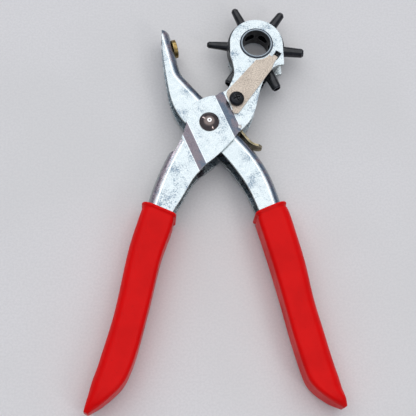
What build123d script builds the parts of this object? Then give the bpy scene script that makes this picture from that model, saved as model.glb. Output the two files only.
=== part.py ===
from build123d import *
import os
from math import asin, atan2, cos, degrees, hypot, pi, radians, sin, sqrt, tan

# Rotary hole punch for leather: two folded steel levers, crossed on a rivet, with a turning wheel of
# six punch tubes on one and a brass anvil on the other. It stands open, as its spring holds it.
# The pivot axis is Z, +Y runs up the tool to the wheel, and Z = 0 is the flat tail of the rivet.

# Sheet and channels
SHEET = 1.8             # thickness of the lever sheet
CHANNEL_WIDTH = 14.0    # outside width of both channels
WEB_BEND = 5.0          # outside radius between a web and its flanges
BOX_PLAY = 0.25         # side play between the anvil lever and the box round it
CREASE_ANGLE = 22.5     # direction across the joggle creases, from +X
RAISED_FROM = -11.2     # raised faces of the box, measured across the creases
RAISED_TO = 9.2
LEFT_RAMP = 4.7         # width of the slope at each side of the raised faces
RIGHT_RAMP = 5.7
CREASE_BEND = 1.2       # bend radius along the creases
HEAD_CROWN_R = 14.9     # round top of the head plates, about the wheel
HEEL_R = 9.5            # round end of the anvil lever's flanges, about the rivet
HEEL_FROM = 178.0       # angles where that round starts and stops
HEEL_TO = 248.0

# Pivot
RIVET_R = 3.0
RIVET_HEAD_LAP = 2.45   # how far the head and the tail reach past the shank
RIVET_HEAD_H = 2.8
RIVET_HEAD_RIM = 0.5    # upright rim under the dome
RIVET_TAIL_LAP = 1.2
RIVET_TAIL_H = 1.15
RIVET_TAIL_EDGE = 0.4   # bevel round the flat tail
BUSH_WALL = 1.18
RUNNING = 0.05          # radial clearance where pieces turn
SNUG = 0.02             # radial clearance where pieces are fixed
END_PLAY = 0.1          # play at the ends of what turns between two flanges

# Wheel and tubes
WHEEL_X = 27.9
WHEEL_Y = 49.0
WHEEL_R = 15.9
WHEEL_PLAY = 0.2        # gap between the wheel and each head plate
TRUNNION_R = 9.3
TRUNNION_PROUD = 0.6
WHEEL_BORE_R = 7.85
RIM_BEVEL = 0.6
TRUNNION_BEVEL = 0.25
TUBE_TIP = 27.5         # radius of the circle that the cutting edges lie on
TUBE_SEAT = 10.0        # radius where the tubes' threaded shanks end
TUBE_SHANK_R = 3.0
TUBE_EDGE = 1.0         # length of the sharpened bevel
TUBE_LAND = 0.05        # width left at the very edge
TUBE_RELIEF = 0.2       # how much wider the bore is behind its cutting part
TUBE_CUT_DEPTH = 5.0    # length of the cutting part of the bore
FIRST_TUBE_ANGLE = 174.6
CUT_SIZES = [2.0, 2.5, 3.0, 3.5, 4.0, 4.5]
TUBE_STEP = 360 / len(CUT_SIZES)
TUBE_ROOT_R = [2.6, 2.6, 2.75, 2.95, 3.2, 3.3]
TUBE_WALL = [0.85, 0.75, 0.7, 0.8, 0.65, 0.6]   # wall behind the sharpened bevel
NOTCH_R = 13.3          # circle of the index notches
NOTCH_SIZE = 3.4
NOTCH_DEPTH = 1.2
NOTCH_IN_USE = 2.5      # tube steps from the first tube round to the notch under the leaf

# Jaw and anvil
CLOSING_ANGLE = 19.4    # turn of the anvil lever from open to the tube's edge
ANVIL_R = 5.2
ANVIL_THICKNESS = 2.3
ANVIL_SHANK_R = 1.4
ANVIL_TAIL_R = 1.95
ANVIL_TAIL_H = 0.8
ANVIL_EDGE = 0.4
BITE_GAP = 0.15         # anvil to cutting edge when closed
NOSE_ALONG = 11.2       # up the jaw from the anvil's centre to the nose
NOSE_CORNER = 5.4       # plan radius of the closed nose
CROTCH_ALONG = 17.8     # down the jaw to the corner where the web turns across the tool
CROTCH_CORNER = 9.0

# Index spring, its screw and the standoff under it
SCREW_X = 15.5
SCREW_Y = 14.1
LEAF = 0.8              # thickness of the leaf and of its folded end
SCREW_HEAD_R = 4.1
SCREW_HEAD_H = 2.4
SCREW_R = 1.75
SCREW_LENGTH = 8.0
SCREW_HEAD_ROUND = 1.2
RECESS_LENGTH = 4.2     # cross recess
RECESS_WIDTH = 0.9
RECESS_DEPTH = 1.4
RECESS_ANGLE = 20
STANDOFF_R = 3.6
TENON_R = 2.5
TENON_HEAD_R = 3.4
TENON_HEAD_H = 0.8
WINDOW_PLAY = 0.35      # gap round the leaf's end tab in the head plate
WINDOW_LENGTH = 5.0     # the window's length round the wheel

# Latch
LATCH_X = 16.9
LATCH_Y = -1.9
LATCH_PIN_R = 1.0
LATCH_EYE_R = 2.0
LATCH_STRIP = 1.2
LATCH_WIDTH = 8.0
LATCH_TONGUE_R = 3.2
LATCH_SLOT_PLAY = 0.4
LATCH_SLOT_EXTRA = 4.0  # room down the web for the strip to swing
LATCH_LEAN = -49.0      # direction of the web where the latch's slot is

# Opening spring
SPRING_WIRE = 1.4
SPRING_PLAY = 0.8       # gap between the coil and the bush
COIL_GAP = 0.1          # gap between two turns
SPRING_TURNS = 2

# Grips
GRIP_SIDE = 2.0         # thickness of the dipped plastic over the flanges
GRIP_WALL = 1.9
GRIP_OUTER_R = 6.0
GRIP_INNER_R = 2.6
LIP_PROUD = 0.8
LIP_LENGTH = 1.8
GRIP_SECTIONS = 14
TOE_FROM = 0.78         # share of the grip's length where its toe starts to thin
TOE_TAPER = 0.5

# Sizes that follow
RIVET_HEAD_R = RIVET_R + RIVET_HEAD_LAP
RIVET_TAIL_R = RIVET_R + RIVET_TAIL_LAP
BUSH_R = RIVET_R + SNUG + BUSH_WALL
SPRING_R = BUSH_R + SPRING_PLAY + SPRING_WIRE / 2
SPRING_PITCH = SPRING_WIRE + COIL_GAP
GRIP_WIDTH = CHANNEL_WIDTH + 2 * GRIP_SIDE

# Heights that follow
BOX_INNER = CHANNEL_WIDTH / 2 + BOX_PLAY
MID = BOX_INNER + SHEET + RIVET_TAIL_H
CHANNEL_INNER = CHANNEL_WIDTH / 2 - SHEET
FRONT = MID + CHANNEL_WIDTH / 2
BACK = MID - CHANNEL_WIDTH / 2
FAR = 70.0              # beyond every edge, for blanks that are trimmed afterwards

# Grip stations from the mouth to the toe: outer edge, inner edge
LEFT_GRIP = [
    ((-35.8, -45.6), (-19.3, -53.0)),
    ((-38.5, -54.0), (-21.2, -60.0)),
    ((-43.9, -71.0), (-26.8, -76.5)),
    ((-49.1, -96.0), (-32.4, -99.5)),
    ((-53.7, -114.3), (-37.2, -118.0)),
    ((-58.7, -130.7), (-42.2, -133.5)),
    ((-62.0, -140.5), (-47.0, -142.2)),
    ((-64.3, -148.5), (-55.5, -150.4)),
    ((-66.0, -154.6), (-63.7, -155.8)),
]
RIGHT_GRIP = [
    ((39.9, -45.4), (24.4, -52.0)),
    ((43.3, -54.0), (26.4, -60.5)),
    ((49.0, -76.8), (32.3, -82.5)),
    ((53.2, -98.9), (37.0, -102.5)),
    ((58.1, -119.6), (42.0, -123.0)),
    ((62.3, -136.1), (46.4, -137.8)),
    ((64.4, -143.8), (50.6, -144.9)),
    ((66.0, -149.6), (58.6, -151.2)),
    ((66.9, -153.4), (64.8, -154.4)),
]
HANDLE_STATIONS = 6     # the sheet ends at this station, inside the grip


def inset(stations, amount):
    """The stations' two edges moved towards each other by an amount, as two lists."""
    outer = []
    inner = []
    for (ox, oy), (ix, iy) in stations:
        width = hypot(ix - ox, iy - oy)
        dx = (ix - ox) / width * amount
        dy = (iy - oy) / width * amount
        outer.append((ox + dx, oy + dy))
        inner.append((ix - dx, iy - dy))
    return outer, inner


def turned(x, y, angle):
    """A point turned about the pivot axis by an angle in degrees."""
    a = radians(angle)
    return (x * cos(a) - y * sin(a), x * sin(a) + y * cos(a))


LEFT_OUTER, LEFT_INNER = inset(LEFT_GRIP[:HANDLE_STATIONS], GRIP_WALL)
RIGHT_OUTER, RIGHT_INNER = inset(RIGHT_GRIP[:HANDLE_STATIONS], GRIP_WALL)

# The anvil's place follows from the wheel: square to the first tube and against it when closed
FACE_ANGLE = FIRST_TUBE_ANGLE - 180.0
REACH = TUBE_TIP + BITE_GAP
FACE_CLOSED = (WHEEL_X + REACH * cos(radians(FIRST_TUBE_ANGLE)),
               WHEEL_Y + REACH * sin(radians(FIRST_TUBE_ANGLE)))
FACE_X, FACE_Y = turned(FACE_CLOSED[0], FACE_CLOSED[1], CLOSING_ANGLE)
JAW_NORMAL = FACE_ANGLE + CLOSING_ANGLE
NX, NY = turned(1.0, 0.0, JAW_NORMAL)
SEAT_X = FACE_X - ANVIL_THICKNESS * NX
SEAT_Y = FACE_Y - ANVIL_THICKNESS * NY


def jaw_web_point(along):
    """A point on the outside of the jaw's web, so far up the jaw from the anvil's centre."""
    return (SEAT_X - NY * along, SEAT_Y + NX * along)


def bend_line(points, given, left):
    """Straight runs joined by arcs as large as the runs allow, or of a given radius at a corner,
    then the whole line moved to its left by an amount."""
    corners = [Vector(*point) for point in points]
    runs = [after - before for before, after in zip(corners, corners[1:])]
    sides = [Vector(-run.Y, run.X) / run.length for run in runs]
    moved = [corners[0] + sides[0] * left]
    radii = []
    for index in range(1, len(runs)):
        before = runs[index - 1]
        after = runs[index]
        turn = radians(before.get_signed_angle(after))
        widest = 0.45 * min(before.length, after.length) / tan(abs(turn) / 2)
        radius = given.get(index, widest)
        radii.append(radius - left if turn > 0 else radius + left)
        both = sides[index - 1] + sides[index]
        moved.append(corners[index] + both * (2 * left / both.length ** 2))
    moved.append(corners[-1] + sides[-1] * left)
    return Wire(FilletPolyline(moved, radius=radii).edges())


def anvil_web_line(inward):
    """Plan of the anvil lever's folded edge: over the nose, down the jaw, across and down the handle."""
    nose = jaw_web_point(NOSE_ALONG)
    last = RIGHT_OUTER[-1]
    points = [(-FAR, nose[1]), nose, jaw_web_point(-CROTCH_ALONG), (15.6, -4.2),
              (24.6, -14.7), (30.7, -24.4), (35.2, -35.2)]
    points += RIGHT_OUTER + [(last[0] + 6.0, last[1] - 20.0)]
    return bend_line(points, {1: NOSE_CORNER, 2: CROTCH_CORNER}, -inward)


def punch_web_line(inward):
    """Plan of the punch lever's folded edge, along the left handle only."""
    last = LEFT_OUTER[-1]
    points = [(-18.6, -9.4), (-25.7, -23.6), (-30.5, -35.4)] + LEFT_OUTER + [(last[0] - 6.6, last[1] - 19.0)]
    return bend_line(points, {}, inward)


def blank_face(web, far_x):
    """The plan between a web line and a straight edge far to its other side."""
    first = web.position_at(0)
    last = web.position_at(1)
    corners = [(last.X, last.Y), (far_x, last.Y), (far_x, first.Y)]
    if abs(first.X - far_x) > 1.0:
        corners.append((first.X, first.Y))
    return make_face(web.edges() + Polyline(corners).edges())


def along_web(solid, web):
    """The solid's level edges that follow a web line."""
    found = []
    for edge in solid.edges():
        middle = edge.position_at(0.5)
        level = abs(edge.position_at(0).Z - edge.position_at(1).Z) < 0.001
        if level and web.distance_to(Vector(middle.X, middle.Y, 0)) < 0.001:
            found.append(edge)
    return found


def rounded_blank(web_line, far_x, inward):
    """A thick blank with a rounded folded edge, its outside or, an amount further in, its hollow."""
    web = web_line(inward)
    half = CHANNEL_WIDTH / 2 - inward
    block = Pos(0, 0, MID - half) * extrude(blank_face(web, far_x), amount=2 * half)
    return fillet(along_web(block, web), radius=WEB_BEND - inward)


def prism(face):
    """A plan face drawn out through the whole height of the tool."""
    return Pos(0, 0, -FAR) * extrude(face, amount=2 * FAR)


def slab(face, low, high):
    """A plan face drawn out between two heights."""
    return Pos(0, 0, low) * extrude(face, amount=high - low)


def pillar(x, y, radius, low, high):
    """An upright round bar between two heights."""
    return Pos(x, y, low) * Cylinder(radius, high - low, align=(Align.CENTER, Align.CENTER, Align.MIN))


def anvil_trim():
    """Plan of the anvil lever's free edges, open beyond its folded edge."""
    heel = turned(HEEL_R, 0.0, HEEL_FROM)
    middle = turned(HEEL_R, 0.0, (HEEL_FROM + HEEL_TO) / 2)
    leave = turned(HEEL_R, 0.0, HEEL_TO)
    tip = (-25.3, 51.5)
    jaw = Spline([tip, (-24.2, 38.0), (-22.4, 25.0), (-20.3, 14.4), (-17.2, 6.8), (-12.8, 0.4)])
    step = Line((-12.8, 0.4), heel)
    turn = ThreePointArc(heel, middle, leave)
    handle = Spline([leave, (6.4, -17.0), (14.6, -27.4), (21.2, -38.6), (24.4, -46.6)] + RIGHT_INNER)
    last = RIGHT_INNER[-1]
    far = Polyline(last, RIGHT_OUTER[-1], (FAR, last[1]), (FAR, FAR), (tip[0], FAR), tip)
    return make_face(jaw.edges() + step.edges() + turn.edges() + handle.edges() + far.edges())


def handle_trim():
    """Plan of the punch lever's handle: free edge on the right, slanting end of the web at the top."""
    edge = Spline([(-6.2, -28.3), (-7.6, -29.9), (-12.4, -37.4), (-16.9, -45.2)] + LEFT_INNER)
    last = LEFT_INNER[-1]
    far = Polyline(last, LEFT_OUTER[-1], (-FAR, last[1]), (-FAR, -25.6), (-18.4, -15.7), (-14.8, -7.5),
                   (-6.2, -28.3))
    return make_face(edge.edges() + far.edges())


def plate_outline():
    """Plan of the box and head: the part of the punch lever that has two separate plates."""
    left = WHEEL_X - HEAD_CROWN_R
    right = WHEEL_X + HEAD_CROWN_R
    side = Polyline((-15.1, -8.2), (-13.7, -4.8), (-12.4, -0.9))
    shoulder = ThreePointArc((-12.4, -0.9), (-8.6, 9.7), (3.9, 15.8))
    neck = Spline([(3.9, 15.8), (6.4, 18.0), (9.5, 19.5), (12.8, 24.4), (14.5, 28.7), (14.7, 33.9),
                   (13.0, 41.2), (left, WHEEL_Y)],
                  tangents=[Vector(1, 0.6), Vector(0, 1)])
    crown = ThreePointArc((left, WHEEL_Y), (WHEEL_X, WHEEL_Y + HEAD_CROWN_R), (right, WHEEL_Y))
    corner = Polyline((right, WHEEL_Y), (43.0, 36.0))
    back = Spline([(43.0, 36.0), (40.4, 35.7), (37.8, 34.7), (35.0, 32.4), (31.0, 26.0), (28.2, 18.0),
                   (26.3, 10.1), (23.7, 3.6), (19.8, -1.5)])
    foot = Polyline((19.8, -1.5), (15.7, -5.9), (13.1, -10.0))
    edge = Spline([(13.1, -10.0), (6.1, -17.4), (2.2, -21.0), (-2.4, -24.6), (-5.4, -27.5), (-6.6, -28.8)])
    close = Line((-6.6, -28.8), (-15.1, -8.2))
    pieces = [side, shoulder, neck, crown, corner, back, foot, edge, close]
    return make_face([e for piece in pieces for e in piece.edges()])


def joggled_sheet(face):
    """One sheet with the box's raised zone, drawn along the creases and cut to a plan outline."""
    low = CHANNEL_INNER
    high = BOX_INNER
    across = [(-FAR, low), (RAISED_FROM - LEFT_RAMP, low), (RAISED_FROM, high), (RAISED_TO, high),
              (RAISED_TO + RIGHT_RAMP, low), (FAR, low)]
    above = [(n, z + SHEET) for n, z in reversed(across)]
    section = make_face(Polyline(across + above, close=True).edges())
    bends = [v for v in section.vertices() if abs(v.X) < FAR / 2]
    section = fillet(bends, radius=CREASE_BEND)
    a = radians(CREASE_ANGLE)
    plane = Plane(origin=(0, 0, 0), x_dir=(cos(a), sin(a), 0), z_dir=(sin(a), -cos(a), 0))
    drawn = extrude(plane * section, amount=FAR, both=True)
    return drawn & prism(face)


def index_place(height):
    """Place of the indexed notch at a height: X out along the wheel's radius, Y round it."""
    angle = FIRST_TUBE_ANGLE + NOTCH_IN_USE * TUBE_STEP
    return Pos(WHEEL_X, WHEEL_Y, height) * Rot(0, 0, angle) * Pos(NOTCH_R, 0, 0)


def wheel_window():
    """Cutter for the window in the front plate that the leaf's end tab drops through."""
    middle = (WINDOW_LENGTH - NOTCH_SIZE) / 2 - WINDOW_PLAY
    return index_place(FRONT) * Pos(0, middle, 0) * Box(NOTCH_SIZE, WINDOW_LENGTH, 3 * SHEET)


def make_punch_lever():
    """Folded sheet: channel handle with its web on the left, opening out into box and head plates."""
    channel = rounded_blank(punch_web_line, FAR, 0) - rounded_blank(punch_web_line, FAR, SHEET)
    handle = channel & prism(handle_trim())
    sheet = joggled_sheet(plate_outline())
    front = Pos(0, 0, MID) * sheet
    back = mirror(Pos(0, 0, MID) * sheet, about=Plane.XY.offset(MID))
    lever = handle + front + back
    lever -= pillar(0, 0, RIVET_R + SNUG, -FAR, FAR)
    lever -= pillar(WHEEL_X, WHEEL_Y, TRUNNION_R + RUNNING, -FAR, FAR)
    lever -= pillar(SCREW_X, SCREW_Y, TENON_R + SNUG, -FAR, FAR)
    lever -= pillar(LATCH_X, LATCH_Y, LATCH_PIN_R + SNUG, -FAR, FAR)
    return lever - wheel_window()


def latch_slot():
    """Cutter for the slot in the anvil lever's web that the latch's eye sits in."""
    reach = LATCH_EYE_R + LATCH_SLOT_PLAY
    width = LATCH_WIDTH + 2 * LATCH_SLOT_PLAY
    length = 2 * reach + LATCH_SLOT_EXTRA
    return Pos(LATCH_X + 1.2, LATCH_Y - 1.6, MID) * Rot(0, 0, LATCH_LEAN) * Box(length, 2 * reach, width)


def make_anvil_lever():
    """Folded sheet: one channel from the closed nose of the jaw to the right handle, web on the right."""
    channel = rounded_blank(anvil_web_line, -FAR, 0) - rounded_blank(anvil_web_line, -FAR, SHEET)
    lever = channel & prism(anvil_trim())
    lever -= pillar(0, 0, RIVET_R + RUNNING, -FAR, FAR)
    lever -= latch_slot()
    return lever - jaw_frame() * Cylinder(ANVIL_SHANK_R + SNUG, 4 * SHEET)


def jaw_frame():
    """Place on the jaw's web where the anvil sits, with its Z axis out of the web."""
    return Pos(SEAT_X, SEAT_Y, MID) * Rot(0, 0, JAW_NORMAL) * Rot(0, 90, 0)


def make_anvil():
    """Brass disc with a shank through the web, headed over inside."""
    low = (Align.CENTER, Align.CENTER, Align.MIN)
    disc = Cylinder(ANVIL_R, ANVIL_THICKNESS, align=low)
    disc = fillet(disc.edges().group_by(Axis.Z)[-1], radius=ANVIL_EDGE)
    shank = Pos(0, 0, -SHEET) * Cylinder(ANVIL_SHANK_R, SHEET, align=low)
    tail = Pos(0, 0, -SHEET - ANVIL_TAIL_H) * Cylinder(ANVIL_TAIL_R, ANVIL_TAIL_H, align=low)
    return jaw_frame() * (disc + shank + tail)


def turned_piece(profile):
    """A closed (radius, height) outline revolved about Z."""
    face = Plane.XZ * make_face(Polyline(profile, close=True).edges())
    return revolve(face, axis=Axis.Z)


def make_pivot_rivet():
    """Domed head on the front, shank through all four flanges, flat spun tail on the back."""
    head = MID + BOX_INNER + SHEET
    outline = Polyline((0, 0), (RIVET_TAIL_R - RIVET_TAIL_EDGE, 0), (RIVET_TAIL_R, RIVET_TAIL_EDGE),
                       (RIVET_TAIL_R, RIVET_TAIL_H), (RIVET_R, RIVET_TAIL_H), (RIVET_R, head),
                       (RIVET_HEAD_R, head), (RIVET_HEAD_R, head + RIVET_HEAD_RIM))
    rise = RIVET_HEAD_H - RIVET_HEAD_RIM
    ball = (RIVET_HEAD_R ** 2 + rise ** 2) / (2 * rise)
    half_angle = asin(RIVET_HEAD_R / ball) / 2
    middle = (ball * sin(half_angle), head + RIVET_HEAD_H - ball * (1 - cos(half_angle)))
    dome = ThreePointArc((RIVET_HEAD_R, head + RIVET_HEAD_RIM), middle, (0, head + RIVET_HEAD_H))
    axis = Line((0, head + RIVET_HEAD_H), (0, 0))
    face = Plane.XZ * make_face(outline.edges() + dome.edges() + axis.edges())
    return revolve(face, axis=Axis.Z)


def make_pivot_bush():
    """Spacer tube on the rivet that keeps the anvil lever's flanges apart."""
    half = CHANNEL_INNER - END_PLAY
    return pillar(0, 0, BUSH_R, MID - half, MID + half) - pillar(0, 0, RIVET_R + SNUG, 0, 2 * MID)


def tangent_point(x, y, radius, side):
    """Where a line from a point touches a circle about the pivot axis, on one side."""
    d = hypot(x, y)
    along = radius * radius / d
    across = side * radius * sqrt(d * d - radius * radius) / d
    return ((x * along - y * across) / d, (y * along + x * across) / d)


def make_opening_spring():
    """Torsion spring round the bush: a coil whose two legs press the two webs apart."""
    left_x, left_y = (-20.4, -20.8)
    right_x, right_y = (20.2, -14.3)
    start = tangent_point(left_x, left_y, SPRING_R, 1)
    stop = tangent_point(right_x, right_y, SPRING_R, -1)
    start_angle = degrees(atan2(start[1], start[0]))
    stop_angle = degrees(atan2(stop[1], stop[0]))
    turns = SPRING_TURNS + ((stop_angle - start_angle) % 360) / 360
    height = turns * SPRING_PITCH
    coil = Helix(pitch=SPRING_PITCH, height=height, radius=SPRING_R)
    coil = Pos(0, 0, MID - height / 2) * Rot(0, 0, start_angle) * coil
    slope = SPRING_PITCH / (2 * pi * SPRING_R)
    left_run = hypot(left_x - start[0], left_y - start[1])
    right_run = hypot(right_x - stop[0], right_y - stop[1])
    left_end = Vector(left_x, left_y, MID - height / 2 - left_run * slope)
    right_end = Vector(right_x, right_y, MID + height / 2 + right_run * slope)
    first_leg = Line(left_end, coil.position_at(0))
    last_leg = Line(coil.position_at(1), right_end)
    path = Wire(first_leg.edges() + coil.edges() + last_leg.edges())
    section = Plane(origin=left_end, z_dir=first_leg.tangent_at(0)) * Circle(SPRING_WIRE / 2)
    return sweep(section, path=path)


def make_punch_wheel():
    """Turned ring with a trunnion on each side, six radial tube holes and six index notches."""
    half = CHANNEL_INNER - WHEEL_PLAY
    trunnion = CHANNEL_WIDTH / 2 + TRUNNION_PROUD
    rim = Cylinder(WHEEL_R, 2 * half)
    rim = chamfer(rim.edges(), length=RIM_BEVEL)
    hub = Cylinder(TRUNNION_R, 2 * trunnion)
    hub = chamfer(hub.edges(), length=TRUNNION_BEVEL)
    wheel = rim + hub - Cylinder(WHEEL_BORE_R, 2 * trunnion)
    for index in range(len(CUT_SIZES)):
        angle = FIRST_TUBE_ANGLE - index * TUBE_STEP
        hole = Rot(0, 0, angle) * Pos(WHEEL_R / 2 + 3, 0, 0) * Rot(0, 90, 0)
        wheel -= hole * Cylinder(TUBE_SHANK_R + SNUG, WHEEL_R + 6)
        notch = Rot(0, 0, angle - TUBE_STEP / 2) * Pos(NOTCH_R, 0, half)
        wheel -= notch * Box(NOTCH_SIZE, NOTCH_SIZE, 2 * NOTCH_DEPTH)
    return Pos(WHEEL_X, WHEEL_Y, MID) * wheel


def make_punch_tube(index):
    """Hollow steel tube, sharpened at the tip, on a threaded shank in the wheel."""
    cut = CUT_SIZES[index] / 2
    root = TUBE_ROOT_R[index]
    wall = cut + TUBE_WALL[index]
    wide = cut + TUBE_RELIEF
    step = TUBE_TIP - TUBE_CUT_DEPTH
    profile = [(wide, TUBE_SEAT), (TUBE_SHANK_R, TUBE_SEAT), (TUBE_SHANK_R, WHEEL_R + SNUG),
               (root, WHEEL_R + SNUG), (wall, TUBE_TIP - TUBE_EDGE), (cut + TUBE_LAND, TUBE_TIP),
               (cut, TUBE_TIP), (cut, step), (wide, step - TUBE_EDGE)]
    tube = turned_piece(profile)
    angle = FIRST_TUBE_ANGLE - index * TUBE_STEP
    return Pos(WHEEL_X, WHEEL_Y, MID) * Rot(0, 0, angle) * Rot(0, 90, 0) * tube


def make_index_spring():
    """Flat leaf under the screw, its far end folded down through the window into a wheel notch."""
    half = NOTCH_SIZE / 2 - WINDOW_PLAY
    near = NOTCH_SIZE / 2 + WINDOW_PLAY
    neck = [index_place(0) * Pos(x, y, 0) for x, y in ((-half, -near), (-half, LEAF - half),
                                                      (half, LEAF - half), (half, -near))]
    corners = [(place.position.X, place.position.Y) for place in neck]
    left = Polyline((13.2, 8.7), (10.3, 16.4))
    heel = ThreePointArc((10.3, 16.4), (10.2, 18.4), (11.1, 20.0))
    long_edge = Line((11.1, 20.0), (27.3, 38.4))
    end = ThreePointArc((27.3, 38.4), (31.5, 39.2), (34.9, 41.5))
    right = Polyline((34.9, 41.5), *corners, (37.3, 36.8), (35.7, 32.7), (16.6, 6.3))
    tip = ThreePointArc((16.6, 6.3), (14.8, 5.7), (13.2, 8.7))
    pieces = [left, heel, long_edge, end, right, tip]
    leaf = slab(make_face([e for piece in pieces for e in piece.edges()]), FRONT, FRONT + LEAF)
    depth = SHEET + WHEEL_PLAY + NOTCH_DEPTH / 2
    tab = index_place(FRONT - depth) * Pos(0, LEAF / 2 - half, 0)
    tab = tab * Box(2 * half, LEAF, depth + LEAF, align=(Align.CENTER, Align.CENTER, Align.MIN))
    hole = pillar(SCREW_X, SCREW_Y, SCREW_R + RUNNING, FRONT - 1, FRONT + 2)
    return leaf + tab - hole


def make_index_screw():
    """Pan head screw with a cross recess that holds the leaf on the standoff."""
    seat = FRONT + LEAF
    head = pillar(SCREW_X, SCREW_Y, SCREW_HEAD_R, seat, seat + SCREW_HEAD_H)
    head = fillet(head.edges().group_by(Axis.Z)[-1], radius=SCREW_HEAD_ROUND)
    shank = pillar(SCREW_X, SCREW_Y, SCREW_R, seat - SCREW_LENGTH, seat)
    screw = head + shank
    for turn in (RECESS_ANGLE, RECESS_ANGLE + 90):
        recess = Pos(SCREW_X, SCREW_Y, seat + SCREW_HEAD_H) * Rot(0, 0, turn)
        screw -= recess * Box(RECESS_LENGTH, RECESS_WIDTH, 2 * RECESS_DEPTH)
    return screw


def make_head_standoff():
    """Spacer between the head plates, tapped for the screw and headed over at the back."""
    body = pillar(SCREW_X, SCREW_Y, STANDOFF_R, MID - CHANNEL_INNER, MID + CHANNEL_INNER)
    tenon = pillar(SCREW_X, SCREW_Y, TENON_R, BACK, FRONT)
    tail = pillar(SCREW_X, SCREW_Y, TENON_HEAD_R, BACK - TENON_HEAD_H, BACK)
    bore = pillar(SCREW_X, SCREW_Y, SCREW_R + SNUG, FRONT + LEAF - SCREW_LENGTH - 1, FRONT + 1)
    return body + tenon + tail - bore


def make_latch():
    """Bent strip with an eye round its pin and a tongue for the thumb; it swings in against the web."""
    path = FilletPolyline([(LATCH_X + 0.9, LATCH_Y - 1.4), (21.6, -8.3), (24.0, -10.9), (29.3, -11.9)],
                          radius=[3.0, 6.0])
    strip = trace(path, line_width=LATCH_STRIP)
    half = LATCH_WIDTH / 2
    latch = slab(strip, MID - half, MID + half)
    ends = [edge for edge in latch.edges() if abs(edge.length - LATCH_STRIP) < 0.01]
    tongue = sorted(ends, key=lambda edge: edge.center().X)[-2:]
    latch = fillet(tongue, radius=LATCH_TONGUE_R)
    latch += pillar(LATCH_X, LATCH_Y, LATCH_EYE_R, MID - half, MID + half)
    return latch - pillar(LATCH_X, LATCH_Y, LATCH_PIN_R + RUNNING, 0, 2 * MID)


def make_latch_pin():
    """Plain pin across the head plates for the latch."""
    return pillar(LATCH_X, LATCH_Y, LATCH_PIN_R, BACK, FRONT)


def grip_section(outer, inner, width, grow):
    """Cross-section of a grip at one station: full round on the outer side, flatter inside."""
    ox, oy = outer
    ix, iy = inner
    across = hypot(ox - ix, oy - iy)
    direction = Vector((ox - ix) / across, (oy - iy) / across, 0)
    plane = Plane(origin=((ox + ix) / 2, (oy + iy) / 2, MID), x_dir=direction,
                  z_dir=direction.cross(Vector(0, 0, 1)))
    x = across / 2 + grow
    y = width / 2 + grow
    ro = min(GRIP_OUTER_R, 0.9 * x)
    ri = min(GRIP_INNER_R, 0.7 * x)
    co = ro * (1 - sqrt(0.5))
    ci = ri * (1 - sqrt(0.5))
    pieces = [
        Line((ri - x, -y), (x - ro, -y)),
        ThreePointArc((x - ro, -y), (x - co, co - y), (x, ro - y)),
        Line((x, ro - y), (x, y - ro)),
        ThreePointArc((x, y - ro), (x - co, y - co), (x - ro, y)),
        Line((x - ro, y), (ri - x, y)),
        ThreePointArc((ri - x, y), (ci - x, y - ci), (-x, y - ri)),
        Line((-x, y - ri), (-x, ri - y)),
        ThreePointArc((-x, ri - y), (ci - x, ci - y), (ri - x, -y)),
    ]
    return plane * make_face([e for piece in pieces for e in piece.edges()])


def make_grip(stations, pocket):
    """Dipped grip lofted along the handle, with a rolled lip at the mouth and a pocket for the sheet."""
    outer = Spline([station[0] for station in stations])
    inner = Spline([station[1] for station in stations])
    sections = []
    for index in range(GRIP_SECTIONS + 1):
        share = index / GRIP_SECTIONS
        past = max(0.0, share - TOE_FROM) / (1.0 - TOE_FROM)
        width = GRIP_WIDTH * (1.0 - TOE_TAPER * past * past)
        out_edge = outer.position_at(share)
        in_edge = inner.position_at(share)
        sections.append(grip_section((out_edge.X, out_edge.Y), (in_edge.X, in_edge.Y), width, 0))
    body = loft(sections)
    mouth = grip_section(stations[0][0], stations[0][1], GRIP_WIDTH, LIP_PROUD)
    lip = extrude(mouth, amount=LIP_LENGTH / 2, both=True)
    lip = fillet(lip.faces().sort_by(Axis.Y)[-1].edges(), radius=LIP_PROUD * 0.9)
    return body + lip - pocket


def punch_handle_core():
    """Outside of the left handle, which the dipped plastic is bonded to."""
    return rounded_blank(punch_web_line, FAR, 0) & prism(handle_trim())


def anvil_handle_core():
    """Outside of the right handle, which the dipped plastic is bonded to."""
    return rounded_blank(anvil_web_line, -FAR, 0) & prism(anvil_trim())


def make_all():
    """Every node of the tool by name."""
    nodes = {
        "punch_lever": make_punch_lever(),
        "anvil_lever": make_anvil_lever(),
        "pivot_rivet": make_pivot_rivet(),
        "pivot_bush": make_pivot_bush(),
        "opening_spring": make_opening_spring(),
        "anvil": make_anvil(),
        "punch_wheel": make_punch_wheel(),
        "index_spring": make_index_spring(),
        "index_screw": make_index_screw(),
        "head_standoff": make_head_standoff(),
        "latch": make_latch(),
        "latch_pin": make_latch_pin(),
        "grip_left": make_grip(LEFT_GRIP, punch_handle_core()),
        "grip_right": make_grip(RIGHT_GRIP, anvil_handle_core()),
    }
    for index, size in enumerate(CUT_SIZES):
        nodes[f"punch_tube_{int(size * 10)}"] = make_punch_tube(index)
    return nodes


os.makedirs("parts", exist_ok=True)
for name, shape in make_all().items():
    export_step(shape, f"parts/{name}.step")
    print(name, round(shape.volume, 1))
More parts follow.
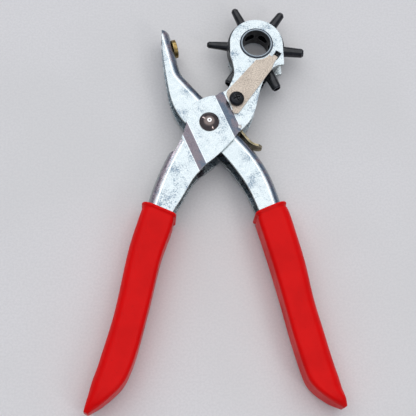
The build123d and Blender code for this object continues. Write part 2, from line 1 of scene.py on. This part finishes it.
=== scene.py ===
import bpy
import math
import random
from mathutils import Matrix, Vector


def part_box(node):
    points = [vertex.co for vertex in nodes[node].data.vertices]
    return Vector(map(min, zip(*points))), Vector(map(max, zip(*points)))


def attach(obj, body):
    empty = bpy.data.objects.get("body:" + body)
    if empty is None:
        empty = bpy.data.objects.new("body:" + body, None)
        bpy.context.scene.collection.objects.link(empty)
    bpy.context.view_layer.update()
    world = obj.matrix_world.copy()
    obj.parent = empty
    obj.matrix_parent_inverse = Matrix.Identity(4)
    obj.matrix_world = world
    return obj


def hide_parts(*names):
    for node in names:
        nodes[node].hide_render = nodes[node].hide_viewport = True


# A rotary hole punch for leather, lying open on a bench. Everything is in metres in the tool's own
# frame: the pivot runs along Z, the wheel is up +Y, and the bench top is at Z = 0.
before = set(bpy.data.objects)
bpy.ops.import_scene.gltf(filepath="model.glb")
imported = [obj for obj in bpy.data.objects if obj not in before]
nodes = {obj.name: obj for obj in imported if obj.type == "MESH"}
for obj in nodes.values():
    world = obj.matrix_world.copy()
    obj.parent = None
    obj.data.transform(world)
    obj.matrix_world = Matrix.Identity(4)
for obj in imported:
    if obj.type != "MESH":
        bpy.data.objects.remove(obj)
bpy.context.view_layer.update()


# ---------------------------------------------------------------------------------------------
# The two levers. Each is one blank of 1.8 mm mild steel, blanked, folded into a channel and barrel
# plated with zinc. The plating is thin and bluish, cloudy with small dark flecks, and it is rubbed
# bright along the sheared edges. The bright lines along the folds are painted highlights, and the
# slate down the sloping sides is painted shade.
# ---------------------------------------------------------------------------------------------

def add_node(tree, kind, inputs=None, **settings):
    """One shader node with its settings, and its inputs joined or filled in."""
    made = tree.nodes.new(kind)
    for name, value in settings.items():
        setattr(made, name, value)
    for name, value in (inputs or {}).items():
        if isinstance(value, bpy.types.NodeSocket):
            tree.links.new(value, made.inputs[name])
        else:
            made.inputs[name].default_value = value
    return made


def blank_finish(name, metallic, specular=0.5):
    """An empty finish: its tree, its Principled shader and its place on the piece in metres."""
    material = bpy.data.materials.new(name)
    material.use_nodes = True
    tree = material.node_tree
    shader = tree.nodes["Principled BSDF"]
    shader.inputs["Metallic"].default_value = metallic
    shader.inputs["Specular IOR Level"].default_value = specular
    place = add_node(tree, "ShaderNodeTexCoord").outputs["Object"]
    return material, tree, shader, place


def grain(tree, place, size, detail=3.0, rough=0.55, stretch=None):
    """Cloudy noise with blotches of about one size in metres, finer along a stretched direction."""
    if stretch:
        drawn = add_node(tree, "ShaderNodeVectorMath", {0: place, 1: stretch}, operation="MULTIPLY")
        place = drawn.outputs[0]
    return add_node(tree, "ShaderNodeTexNoise", {"Vector": place, "Scale": 1.0 / size, "Detail": detail,
                                                 "Roughness": rough}).outputs["Fac"]


def fade(tree, value, low, high, to_low=0.0, to_high=1.0):
    """A value eased from one range into another and held at both ends."""
    return add_node(tree, "ShaderNodeMapRange", {"Value": value, "From Min": low, "From Max": high,
                                                 "To Min": to_low, "To Max": to_high},
                    interpolation_type="SMOOTHSTEP").outputs["Result"]


def sums(tree, kind, first, second=0.0):
    """Two values added, multiplied or otherwise put together, or one value changed."""
    return add_node(tree, "ShaderNodeMath", {0: first, 1: second}, operation=kind).outputs[0]


def tint(tree, share, first, second):
    """A colour between two, by a share from 0 to 1."""
    mix = add_node(tree, "ShaderNodeMix", {"Factor": share}, data_type="RGBA")
    for index, colour in ((6, first), (7, second)):
        if isinstance(colour, bpy.types.NodeSocket):
            tree.links.new(colour, mix.inputs[index])
        else:
            mix.inputs[index].default_value = (*colour, 1.0)
    return mix.outputs[2]


def edge_share(tree, width):
    """1 on the sharp edges of a piece and 0 away from them."""
    soft = add_node(tree, "ShaderNodeBevel", {"Radius": width}, samples=4).outputs[0]
    flat = add_node(tree, "ShaderNodeNewGeometry").outputs["True Normal"]
    match = add_node(tree, "ShaderNodeVectorMath", {0: soft, 1: flat}, operation="DOT_PRODUCT")
    return fade(tree, match.outputs["Value"], 0.995, 0.90)


def relief(tree, shader, height, depth, edge=0.0):
    """Small relief in metres on the surface, over edges that are eased by a radius."""
    inputs = {"Height": height, "Distance": depth, "Strength": 1.0}
    if edge:
        inputs["Normal"] = add_node(tree, "ShaderNodeBevel", {"Radius": edge}, samples=4).outputs[0]
    bump = add_node(tree, "ShaderNodeBump", inputs)
    tree.links.new(bump.outputs["Normal"], shader.inputs["Normal"])


def zinc_plate(name, shift):
    """Cloudy bluish zinc: pale where it lies flat, a painted highlight on the folds, painted slate shade
    down the sides, flecked.
    """
    material, tree, shader, place = blank_finish(name, 1.0)
    place = add_node(tree, "ShaderNodeVectorMath", {0: place, 1: shift}, operation="ADD").outputs[0]
    clouds = grain(tree, place, 0.008, 3.0)
    flecks = grain(tree, place, 0.00060, 4.0, 0.78)
    specks = grain(tree, place, 0.00040, 3.0, 0.6)
    thick = sums(tree, "ADD", flecks, sums(tree, "MULTIPLY", sums(tree, "SUBTRACT", clouds, 0.5), 0.62))
    dark = fade(tree, thick, 0.575, 0.625)
    fine = fade(tree, specks, 0.53, 0.60, 0.0, 0.55)
    crystal = add_node(tree, "ShaderNodeTexVoronoi", {"Vector": place, "Scale": 620.0}).outputs["Color"]
    facet = add_node(tree, "ShaderNodeSeparateColor", {"Color": crystal}).outputs[0]
    plate = tint(tree, facet, (0.545, 0.610, 0.640), (0.645, 0.705, 0.730))
    plate = tint(tree, fine, plate, (0.30, 0.37, 0.42))
    plate = tint(tree, sums(tree, "MULTIPLY", dark, 0.85), plate, (0.13, 0.20, 0.29))
    up = add_node(tree, "ShaderNodeNewGeometry").outputs["True Normal"]
    level = sums(tree, "ABSOLUTE", add_node(tree, "ShaderNodeSeparateXYZ", {0: up}).outputs[2])
    parts = add_node(tree, "ShaderNodeSeparateXYZ", {0: place})
    # Painted shade: faces tilted off level are tinted by their normal, from navy to a browner slate, with
    # the steepest faces a lighter grey-green, for the darker reflection that sloping zinc shows. The
    # painted slate is mottled and grows browner towards -X.
    left = fade(tree, parts.outputs[0], -0.002, -0.010, 0.0, 0.16)
    slope_mottle = sums(tree, "ADD", grain(tree, place, 0.006, 3.0), left)
    slope_shade = tint(tree, fade(tree, slope_mottle, 0.40, 0.62), (0.12, 0.17, 0.25), (0.31, 0.235, 0.27))
    slope_shade = tint(tree, fine, slope_shade, (0.24, 0.28, 0.33))
    slope_shade = tint(tree, fade(tree, level, 0.75, 0.40), slope_shade, (0.36, 0.40, 0.385))
    plate = tint(tree, fade(tree, level, 0.990, 0.955, 0.0, 0.85), plate, slope_shade)
    # Painted highlight: a thin bright line on each fold, a few degrees off level, stands for the light the
    # bend catches. The sheared edges are brightened as real rubbing, and both go into one mask below.
    fold_highlight = sums(tree, "MULTIPLY", fade(tree, level, 0.9996, 0.9985), fade(tree, level, 0.984, 0.994))
    brightened_edges = sums(tree, "MAXIMUM", sums(tree, "MULTIPLY", edge_share(tree, 0.0005), 0.7), fold_highlight)
    plate = tint(tree, sums(tree, "MULTIPLY", brightened_edges, 0.85), plate, (0.86, 0.92, 0.95))
    tree.links.new(plate, shader.inputs["Base Color"])
    dull = sums(tree, "ADD", fade(tree, facet, 0.0, 1.0, 0.20, 0.30), sums(tree, "MULTIPLY", dark, 0.14))
    dull = sums(tree, "SUBTRACT", dull, sums(tree, "MULTIPLY", brightened_edges, 0.08))
    tree.links.new(dull, shader.inputs["Roughness"])
    pits = sums(tree, "SUBTRACT", sums(tree, "MULTIPLY", specks, 0.5), sums(tree, "MULTIPLY", dark, 0.6))
    relief(tree, shader, pits, 0.00003, 0.00030)
    return material


def dress(material, *names):
    """The finish on one or more of the tool's own metal pieces."""
    for name in names:
        nodes[name].data.materials.clear()
        nodes[name].data.materials.append(material)


dress(zinc_plate("zinc plate punch lever", (0.0, 0.0, 0.0)), "punch_lever")
dress(zinc_plate("zinc plate anvil lever", (0.31, 0.17, 0.05)), "anvil_lever")


# ---------------------------------------------------------------------------------------------
# The pivot. A cold headed rivet with a polished dome, its crown dimpled by the riveting punch, goes
# through all four flanges, and a short plain tube on it keeps the inner two apart.
# ---------------------------------------------------------------------------------------------

def polished_rivet():
    """Dark mirror polish with faint turning lines, and a small dimple on the crown, ringed by a painted
    highlight.
    """
    material, tree, shader, place = blank_finish("polished rivet steel", 1.0)
    parts = add_node(tree, "ShaderNodeSeparateXYZ", {0: place})
    away = sums(tree, "SQRT", sums(tree, "ADD", sums(tree, "POWER", parts.outputs[0], 2.0),
                                   sums(tree, "POWER", parts.outputs[1], 2.0)))
    smear = grain(tree, place, 0.0022, 3.0)
    skin = tint(tree, smear, (0.105, 0.080, 0.078), (0.24, 0.20, 0.19))
    # Painted highlight: a near-white ring round the dimple, painted into the colour, stands for the light
    # its rim reflects.
    ring = sums(tree, "MULTIPLY", fade(tree, away, 0.00045, 0.00062), fade(tree, away, 0.00130, 0.00108))
    skin = tint(tree, ring, skin, (0.96, 0.95, 0.95))
    tree.links.new(skin, shader.inputs["Base Color"])
    dull = sums(tree, "ADD", fade(tree, smear, 0.35, 0.7, 0.07, 0.15), sums(tree, "MULTIPLY", ring, 0.35))
    tree.links.new(dull, shader.inputs["Roughness"])
    rings = sums(tree, "SINE", sums(tree, "MULTIPLY", away, 26000.0))
    crater = sums(tree, "MULTIPLY", fade(tree, away, 0.0005, 0.0009), 60.0)
    relief(tree, shader, sums(tree, "ADD", crater, rings), 0.0000018)
    return material


def drawn_wire(name, light, dark, direction, rough=0.28):
    """Bright drawn or turned steel with fine lines along one direction and a little brown bloom."""
    material, tree, shader, place = blank_finish(name, 1.0)
    lines = grain(tree, place, 0.0006, 4.0, 0.6, direction)
    bloom = grain(tree, place, 0.003, 3.0)
    skin = tint(tree, fade(tree, lines, 0.35, 0.65), dark, light)
    skin = tint(tree, fade(tree, bloom, 0.56, 0.72, 0.0, 0.5), skin, (0.20, 0.14, 0.09))
    tree.links.new(skin, shader.inputs["Base Color"])
    tree.links.new(fade(tree, lines, 0.3, 0.7, rough - 0.08, rough + 0.10), shader.inputs["Roughness"])
    relief(tree, shader, lines, 0.00001, 0.0002)
    return material


dress(polished_rivet(), "pivot_rivet")
dress(drawn_wire("turned spacer steel", (0.62, 0.63, 0.64), (0.38, 0.39, 0.40), (0.3, 0.3, 3.0)),
      "pivot_bush")


# ---------------------------------------------------------------------------------------------
# The opening spring. Two turns of 1.4 mm music wire round the spacer tube, with a straight leg
# against each web, oil tempered to a dark grey and bright where it has rubbed.
# ---------------------------------------------------------------------------------------------
dress(drawn_wire("oiled spring wire", (0.36, 0.36, 0.38), (0.13, 0.13, 0.14), (1.0, 1.0, 6.0), 0.34),
      "opening_spring")


# ---------------------------------------------------------------------------------------------
# The anvil. A soft brass disc riveted through the jaw, so that the cutting edges land on something
# softer than themselves. It is turned, a little tarnished, and ringed where the tubes have bitten.
# ---------------------------------------------------------------------------------------------

def anvil_brass():
    """Yellow brass with brown tarnish in its clouds and small bright scuffs."""
    material, tree, shader, place = blank_finish("anvil brass", 1.0)
    clouds = grain(tree, place, 0.0028, 4.0)
    scuffs = grain(tree, place, 0.0005, 4.0, 0.7)
    skin = tint(tree, fade(tree, clouds, 0.38, 0.66), (0.42, 0.30, 0.115), (0.18, 0.12, 0.040))
    skin = tint(tree, fade(tree, scuffs, 0.60, 0.72, 0.0, 0.7), skin, (0.93, 0.76, 0.44))
    skin = tint(tree, sums(tree, "MULTIPLY", edge_share(tree, 0.0004), 0.6), skin, (0.96, 0.80, 0.48))
    tree.links.new(skin, shader.inputs["Base Color"])
    tree.links.new(fade(tree, clouds, 0.3, 0.7, 0.20, 0.40), shader.inputs["Roughness"])
    relief(tree, shader, scuffs, 0.00002, 0.0002)
    return material


dress(anvil_brass(), "anvil")


# ---------------------------------------------------------------------------------------------
# The punch wheel and its six tubes. Turned steel, hardened and chemically blacked: satin black with
# a faint blue bloom, turning lines round each tube, and grey steel showing on the worn edges and on
# the sharpened rims.
# ---------------------------------------------------------------------------------------------
WHEEL_LOW, WHEEL_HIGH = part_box("punch_wheel")
WHEEL_MID = (WHEEL_LOW + WHEEL_HIGH) / 2
TUBE_NAMES = sorted(name for name in nodes if name.startswith("punch_tube"))


def blacked_steel(name, middle, worn, rough, line_pitch=0.0, specular=0.6):
    """Black oxide over machined steel, with turning lines at a pitch counted out from a middle."""
    material, tree, shader, place = blank_finish(name, 0.45, specular)
    bloom = grain(tree, place, 0.003, 4.0)
    dust = grain(tree, place, 0.0005, 5.0, 0.7)
    skin = tint(tree, fade(tree, bloom, 0.35, 0.70), (0.006, 0.007, 0.009), (0.020, 0.022, 0.028))
    skin = tint(tree, fade(tree, dust, 0.62, 0.76, 0.0, 0.5), skin, (0.16, 0.16, 0.17))
    brightened_edges = edge_share(tree, 0.0004)
    broken = sums(tree, "MULTIPLY", brightened_edges, fade(tree, dust, 0.38, 0.62, 0.25, 1.0))
    skin = tint(tree, sums(tree, "MULTIPLY", broken, worn), skin, (0.42, 0.43, 0.46))
    tree.links.new(skin, shader.inputs["Base Color"])
    tree.links.new(fade(tree, bloom, 0.3, 0.7, rough - 0.06, rough + 0.10), shader.inputs["Roughness"])
    height = sums(tree, "MULTIPLY", dust, 0.7)
    if line_pitch:
        out = add_node(tree, "ShaderNodeVectorMath", {0: place, 1: tuple(middle)}, operation="DISTANCE")
        waves = sums(tree, "MULTIPLY", out.outputs["Value"], 2 * math.pi / line_pitch)
        height = sums(tree, "ADD", height, sums(tree, "SINE", waves))
    relief(tree, shader, height, 0.000006, 0.00025)
    return material


def bright_hub(material):
    """The wheel's two trunnion faces: ground to a navy steel, with a painted highlight ring on the lip
    round the bore.
    """
    tree = material.node_tree
    shader = tree.nodes["Principled BSDF"]
    place = tree.nodes["Texture Coordinate"].outputs["Object"]
    parts = add_node(tree, "ShaderNodeSeparateXYZ", {0: place})
    height = sums(tree, "SUBTRACT", parts.outputs[2], WHEEL_MID.z)
    proud = fade(tree, sums(tree, "ABSOLUTE", height), 0.00735, 0.00750)
    across = sums(tree, "POWER", sums(tree, "SUBTRACT", parts.outputs[0], WHEEL_MID.x), 2.0)
    up = sums(tree, "POWER", sums(tree, "SUBTRACT", parts.outputs[1], WHEEL_MID.y), 2.0)
    out = sums(tree, "SQRT", sums(tree, "ADD", across, up))
    scoured = grain(tree, place, 0.0011, 4.0, 0.65)
    ground = tint(tree, scoured, (0.018, 0.026, 0.042), (0.060, 0.080, 0.110))
    # Painted highlight: a pale ring just outside the bore stands for the light its lip catches.
    bore_highlight = sums(tree, "MULTIPLY", fade(tree, out, 0.00800, 0.00812), fade(tree, out, 0.00858, 0.00842))
    ground = tint(tree, bore_highlight, ground, (0.34, 0.40, 0.45))
    under = shader.inputs["Base Color"].links[0].from_socket
    tree.links.new(tint(tree, proud, under, ground), shader.inputs["Base Color"])
    return material


dress(bright_hub(blacked_steel("blacked wheel", WHEEL_MID, 1.0, 0.30, 0.0009)), "punch_wheel")
dress(blacked_steel("blacked tubes", WHEEL_MID, 0.7, 0.16, 0.0007, 0.75), *TUBE_NAMES)


# ---------------------------------------------------------------------------------------------
# The index leaf, its screw and the standoff under it. The leaf is hard spring strip with a straw
# temper colour, its end folded down into the wheel. A blacked pan head screw clamps it to a zinc
# plated standoff that is riveted between the head plates.
# ---------------------------------------------------------------------------------------------

def straw_strip():
    """Tempered strip: matt straw with a fine peppering, pale flecks and paler edges."""
    material, tree, shader, place = blank_finish("straw tempered strip", 0.55)
    pepper = grain(tree, place, 0.00060, 4.0, 0.75)
    clouds = grain(tree, place, 0.006, 3.0)
    skin = tint(tree, fade(tree, clouds, 0.35, 0.68), (0.66, 0.575, 0.49), (0.56, 0.485, 0.41))
    skin = tint(tree, fade(tree, pepper, 0.50, 0.58, 0.0, 0.85), skin, (0.31, 0.245, 0.20))
    skin = tint(tree, fade(tree, pepper, 0.44, 0.32, 0.0, 0.5), skin, (0.80, 0.73, 0.64))
    skin = tint(tree, sums(tree, "MULTIPLY", edge_share(tree, 0.00045), 0.6), skin, (0.84, 0.79, 0.72))
    tree.links.new(skin, shader.inputs["Base Color"])
    tree.links.new(fade(tree, pepper, 0.3, 0.7, 0.38, 0.56), shader.inputs["Roughness"])
    relief(tree, shader, pepper, 0.00003, 0.0002)
    return material


SCREW_LOW, SCREW_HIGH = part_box("index_screw")
dress(straw_strip(), "index_spring")
dress(blacked_steel("blacked screw", (SCREW_LOW + SCREW_HIGH) / 2, 0.6, 0.34, 0.0, 0.2), "index_screw")
dress(zinc_plate("zinc plate standoff", (0.11, 0.47, 0.2)), "head_standoff")


# ---------------------------------------------------------------------------------------------
# The latch that holds the closed handles, and its pin. A bent strip with an olive bronze plating,
# thumbed bright on the tab, swinging on a plain steel pin between the head plates.
# ---------------------------------------------------------------------------------------------

def bronze_strip():
    """Olive bronze with darker clouds and yellow metal on the edges."""
    material, tree, shader, place = blank_finish("olive bronze strip", 1.0)
    clouds = grain(tree, place, 0.0035, 4.0)
    scuffs = grain(tree, place, 0.0007, 4.0, 0.65, (0.5, 0.5, 2.5))
    skin = tint(tree, fade(tree, clouds, 0.36, 0.66), (0.34, 0.29, 0.185), (0.16, 0.135, 0.080))
    skin = tint(tree, fade(tree, scuffs, 0.58, 0.72, 0.0, 0.6), skin, (0.70, 0.64, 0.50))
    skin = tint(tree, sums(tree, "MULTIPLY", edge_share(tree, 0.0004), 0.7), skin, (0.82, 0.74, 0.58))
    tree.links.new(skin, shader.inputs["Base Color"])
    tree.links.new(fade(tree, clouds, 0.3, 0.7, 0.22, 0.40), shader.inputs["Roughness"])
    relief(tree, shader, scuffs, 0.00002, 0.0002)
    return material


dress(bronze_strip(), "latch")
dress(drawn_wire("plain pin steel", (0.66, 0.67, 0.68), (0.40, 0.41, 0.42), (2.0, 2.0, 0.4)), "latch_pin")


# ---------------------------------------------------------------------------------------------
# The grips. Each handle is dipped in red plasticised PVC, which leaves a soft sleeve about 2 mm
# thick, full and round over the folded edge and flatter over the open side, with a rolled lip where
# it was trimmed at the mouth and a thin pointed toe.
# ---------------------------------------------------------------------------------------------
GRIP_MID = 0.0102             # height of the handles' middle plane
GRIP_HALF = 0.0090            # half the thickness of the dipped handle
GRIP_WALL = 0.0019
GRIP_ROUND_OUT = 0.0060
GRIP_ROUND_IN = 0.0026
POCKET_ROUND_OUT = 0.0050
POCKET_ROUND_IN = 0.0006
LIP_PROUD = 0.0008
TOE_FROM = 0.78               # share of the grip's length where the toe starts to thin
TOE_TAPER = 0.5
TOE_CAP = (0.10, 0.40, 0.72, 0.97)    # how far the blunt end of the toe has grown, from its middle out
LIP_BEAD = ((0.00200, 0.0), (0.00130, 0.00008), (0.00085, 0.00042), (0.00045, 0.00074),
            (0.00005, LIP_PROUD), (-0.00035, 0.00072), (-0.00068, 0.00040), (-0.00086, -0.00010),
            (-0.00089, -0.00080), (-0.00082, -0.00140), (-0.00060, -0.00180))    # along, outwards
POCKET_SHARES = (0.0, 0.01, 0.05, 0.15, 0.30, 0.45, 0.58)    # rings down the inside, by the grip's length
RINGS = 96
RINGS_IN_LIP = 3
CORNER_STEPS = 7
SIDE_STEPS = 8
LEFT_GRIP = [
    ((-0.0358, -0.0456), (-0.0193, -0.0530)), ((-0.0385, -0.0540), (-0.0212, -0.0600)),
    ((-0.0439, -0.0710), (-0.0268, -0.0765)), ((-0.0491, -0.0960), (-0.0324, -0.0995)),
    ((-0.0537, -0.1143), (-0.0372, -0.1180)), ((-0.0587, -0.1307), (-0.0422, -0.1335)),
    ((-0.0620, -0.1405), (-0.0470, -0.1422)), ((-0.0643, -0.1485), (-0.0555, -0.1504)),
    ((-0.0660, -0.1546), (-0.0637, -0.1558))]
RIGHT_GRIP = [
    ((0.0399, -0.0454), (0.0244, -0.0520)), ((0.0433, -0.0540), (0.0264, -0.0605)),
    ((0.0490, -0.0768), (0.0323, -0.0825)), ((0.0532, -0.0989), (0.0370, -0.1025)),
    ((0.0581, -0.1196), (0.0420, -0.1230)), ((0.0623, -0.1361), (0.0464, -0.1378)),
    ((0.0644, -0.1438), (0.0506, -0.1449)), ((0.0660, -0.1496), (0.0586, -0.1512)),
    ((0.0669, -0.1534), (0.0648, -0.1544))]


def along(points, share):
    """A point on a smooth line through evenly counted points."""
    t = share * (len(points) - 1)
    i = min(int(t), len(points) - 2)
    t -= i
    b, c = Vector(points[i]), Vector(points[i + 1])
    a = Vector(points[i - 1]) if i > 0 else 2 * b - c
    d = Vector(points[i + 2]) if i + 2 < len(points) else 2 * c - b
    bend = (2 * a - 5 * b + 4 * c - d) * t * t
    twist = (3 * b - a - 3 * c + d) * t ** 3
    return 0.5 * (2 * b + (c - a) * t + bend + twist)


def sleeve_ring(outer, inner, half, grow, round_out, round_in, slide):
    """One ring round the handle: where it lies, its thickness, and how far it slides along the grip."""
    across = outer - inner
    out = Vector((across.x, across.y, 0.0)).normalized()
    down = Vector((out.y, -out.x, 0.0))
    if down.y > 0:
        down = -down
    middle = Vector(((outer.x + inner.x) / 2, (outer.y + inner.y) / 2, GRIP_MID)) + down * slide
    x = across.length / 2 + grow
    y = half + grow
    ro = min(round_out, 0.92 * x, 0.92 * y)
    ri = min(round_in, 0.8 * x, 0.8 * y)
    corners = [(x, y, ro, 0.0), (-x, y, ri, 90.0), (-x, -y, ri, 180.0), (x, -y, ro, 270.0)]
    flat = []
    for index, (cx, cy, r, start) in enumerate(corners):
        for step in range(CORNER_STEPS + 1):
            a = math.radians(start + 90.0 * step / CORNER_STEPS)
            flat.append((cx - math.copysign(r, cx) + r * math.cos(a),
                         cy - math.copysign(r, cy) + r * math.sin(a)))
        nx, ny = flat[-1]
        tx, ty, tr, ts = corners[(index + 1) % len(corners)]
        ta = math.radians(ts)
        ex = tx - math.copysign(tr, tx) + tr * math.cos(ta)
        ey = ty - math.copysign(tr, ty) + tr * math.sin(ta)
        for step in range(1, SIDE_STEPS):
            s = step / SIDE_STEPS
            flat.append((nx + (ex - nx) * s, ny + (ey - ny) * s))
    return [middle + out * u + Vector((0.0, 0.0, v)) for u, v in flat]


def skin_over(name, rings):
    """A closed smooth piece through rings that each have the same number of points."""
    count = len(rings[0])
    points = [point for ring in rings for point in ring]
    faces = [tuple(range(count))]
    for k in range(len(rings) - 1):
        for i in range(count):
            j = (i + 1) % count
            faces.append((k * count + i, (k + 1) * count + i, (k + 1) * count + j, k * count + j))
    faces.append(tuple(range(len(points) - 1, len(points) - count - 1, -1)))
    mesh = bpy.data.meshes.new(name)
    mesh.from_pydata(points, [], faces)
    mesh.validate()
    bpy.ops.object.select_all(action="DESELECT")
    piece = bpy.data.objects.new(name, mesh)
    bpy.context.scene.collection.objects.link(piece)
    bpy.context.view_layer.objects.active = piece
    bpy.ops.object.mode_set(mode="EDIT")
    bpy.ops.mesh.select_all(action="SELECT")
    bpy.ops.mesh.normals_make_consistent(inside=False)
    bpy.ops.object.mode_set(mode="OBJECT")
    mesh.polygons.foreach_set("use_smooth", [True] * len(mesh.polygons))
    return piece


def dipped_sleeve(name, stations, seed):
    """The sleeve: toe, outside, rolled lip, trimmed mouth and the pocket down the inside."""
    outer = [Vector((*s[0], 0.0)) for s in stations]
    inner = [Vector((*s[1], 0.0)) for s in stations]
    chance = random.Random(seed)
    sag = [chance.uniform(0, 2 * math.pi) for _ in range(2)]
    rings = []

    def ring(share, grow, round_out, round_in, slide=0.0, uneven=1.0):
        past = max(0.0, share - TOE_FROM) / (1.0 - TOE_FROM)
        half = GRIP_HALF * (1.0 - TOE_TAPER * past * past)
        swell = 0.00010 * math.sin(9.0 * share + sag[0]) + 0.00006 * math.sin(31.0 * share + sag[1])
        rings.append(sleeve_ring(along(outer, share), along(inner, share), half, grow + swell * uneven,
                                 round_out, round_in, slide))

    end_out = along(outer, 1.0)
    end_in = along(inner, 1.0)
    end = (end_out + end_in) / 2
    for shrink in TOE_CAP:
        rings.append(sleeve_ring(end + (end_out - end) * shrink, end + (end_in - end) * shrink,
                                 GRIP_HALF * TOE_TAPER * shrink, 0.0, GRIP_ROUND_OUT, GRIP_ROUND_IN, 0.0))
    for step in range(RINGS, RINGS_IN_LIP, -1):
        ring(step / RINGS * 0.999, 0.0, GRIP_ROUND_OUT, GRIP_ROUND_IN)
    for slide, grow in LIP_BEAD:
        ring(0.0, grow, GRIP_ROUND_OUT, GRIP_ROUND_IN, slide, 0.6)
    for share in POCKET_SHARES:
        ring(share, -GRIP_WALL, POCKET_ROUND_OUT, POCKET_ROUND_IN, 0.0, 0.0)
    return skin_over(name, rings)


def dipped_vinyl(name, shift):
    """Bright red PVC, half glossy: faint orange peel, drips, thumb shine and a little grime."""
    material, tree, shader, place = blank_finish(name, 0.0, 0.08)
    place = add_node(tree, "ShaderNodeVectorMath", {0: place, 1: shift}, operation="ADD").outputs[0]
    clouds = grain(tree, place, 0.018, 3.0)
    peel = grain(tree, place, 0.0011, 2.0, 0.5)
    grime = grain(tree, place, 0.0024, 5.0, 0.7)
    flow = grain(tree, place, 0.006, 2.0, 0.5, (1.0, 0.35, 1.0))
    skin = tint(tree, fade(tree, clouds, 0.32, 0.70), (0.76, 0.0022, 0.0026), (0.68, 0.0018, 0.0022))
    skin = tint(tree, fade(tree, grime, 0.60, 0.76, 0.0, 0.30), skin, (0.25, 0.006, 0.006))
    tree.links.new(skin, shader.inputs["Base Color"])
    dull = fade(tree, clouds, 0.3, 0.7, 0.30, 0.42)
    dull = sums(tree, "ADD", dull, fade(tree, grime, 0.5, 0.75, 0.0, 0.12))
    tree.links.new(dull, shader.inputs["Roughness"])
    shader.inputs["Coat Weight"].default_value = 0.03
    shader.inputs["Coat Roughness"].default_value = 0.2
    height = sums(tree, "ADD", sums(tree, "MULTIPLY", peel, 0.10), flow)
    relief(tree, shader, height, 0.00022)
    return material


for grip_name, grip_node, stations, body, seed in (
        ("dipped_grip_left", "grip_left", LEFT_GRIP, "punch_arm", 3),
        ("dipped_grip_right", "grip_right", RIGHT_GRIP, "anvil_arm", 8)):
    sleeve = dipped_sleeve(grip_name, stations, seed)
    sleeve.data.materials.append(dipped_vinyl("red vinyl " + grip_node, (0.1 * seed, 0.0, 0.0)))
    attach(sleeve, body)
    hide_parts(grip_node)


# ---------------------------------------------------------------------------------------------
# The bench top, the light and the camera. A plain pale top under a wide bright ceiling above the
# wheel end, with a dim room round it, so that level metal shines and sloping metal goes slate.
# ---------------------------------------------------------------------------------------------
bpy.ops.mesh.primitive_grid_add(x_subdivisions=4, y_subdivisions=4, size=6.0, location=(0.0, -0.05, 0.0))
bench = bpy.context.object
bench.name = "bench_top"
bench_finish, tree, shader, place = blank_finish("pale bench top", 0.0, 0.2)
tone = grain(tree, place, 0.09, 2.0)
tooth = grain(tree, place, 0.0012, 3.0)
board = tint(tree, fade(tree, tone, 0.35, 0.65), (0.755, 0.742, 0.750), (0.725, 0.715, 0.716))
tree.links.new(tint(tree, fade(tree, tooth, 0.35, 0.65, 0.0, 0.5), board, (0.665, 0.655, 0.662)),
               shader.inputs["Base Color"])
shader.inputs["Roughness"].default_value = 0.85
relief(tree, shader, tooth, 0.00008)
bench.data.materials.append(bench_finish)


def soft_lamp(name, where, aim, width, height, power, colour):
    """A square soft box at a place, turned to face a point."""
    lamp = bpy.data.lights.new(name, "AREA")
    lamp.shape = "RECTANGLE"
    lamp.size = width
    lamp.size_y = height
    lamp.energy = power
    lamp.color = colour
    made = bpy.data.objects.new(name, lamp)
    bpy.context.scene.collection.objects.link(made)
    made.location = where
    made.rotation_mode = "QUATERNION"
    made.rotation_quaternion = (Vector(aim) - Vector(where)).to_track_quat("-Z", "Y")
    return made


soft_lamp("back strip", (-0.60, 0.80, 0.50), (0.0, -0.03, 0.0), 0.10, 0.50, 1.2, (0.97, 0.99, 1.0))
soft_lamp("front strip", (0.55, -0.65, 0.70), (0.0, -0.05, 0.0), 0.12, 0.30, 0.9, (1.0, 0.99, 0.97))

world = bpy.data.worlds.new("room")
bpy.context.scene.world = world
world.use_nodes = True
sky = world.node_tree
look = add_node(sky, "ShaderNodeTexCoord").outputs["Generated"]
overhead = add_node(sky, "ShaderNodeVectorMath", {0: look, 1: (0.02, 0.33, 0.944)}, operation="DOT_PRODUCT")
lift = fade(sky, overhead.outputs["Value"], 0.66, 0.86)
room = tint(sky, lift, (0.20, 0.215, 0.25), (1.0, 1.01, 1.02))
sky.links.new(room, sky.nodes["Background"].inputs["Color"])
sky.nodes["Background"].inputs["Strength"].default_value = 1.5

camera = bpy.data.objects.new("camera", bpy.data.cameras.new("camera"))
bpy.context.scene.collection.objects.link(camera)
camera.data.lens = 90.6
camera.data.sensor_width = 36.0
camera.data.clip_start = 0.01
camera.location = (-0.03791, -0.22859, 0.54120)
camera.rotation_euler = (math.radians(18.974), math.radians(-3.515), math.radians(-1.300))
bpy.context.scene.camera = camera
bpy.context.scene.view_settings.view_transform = "Standard"
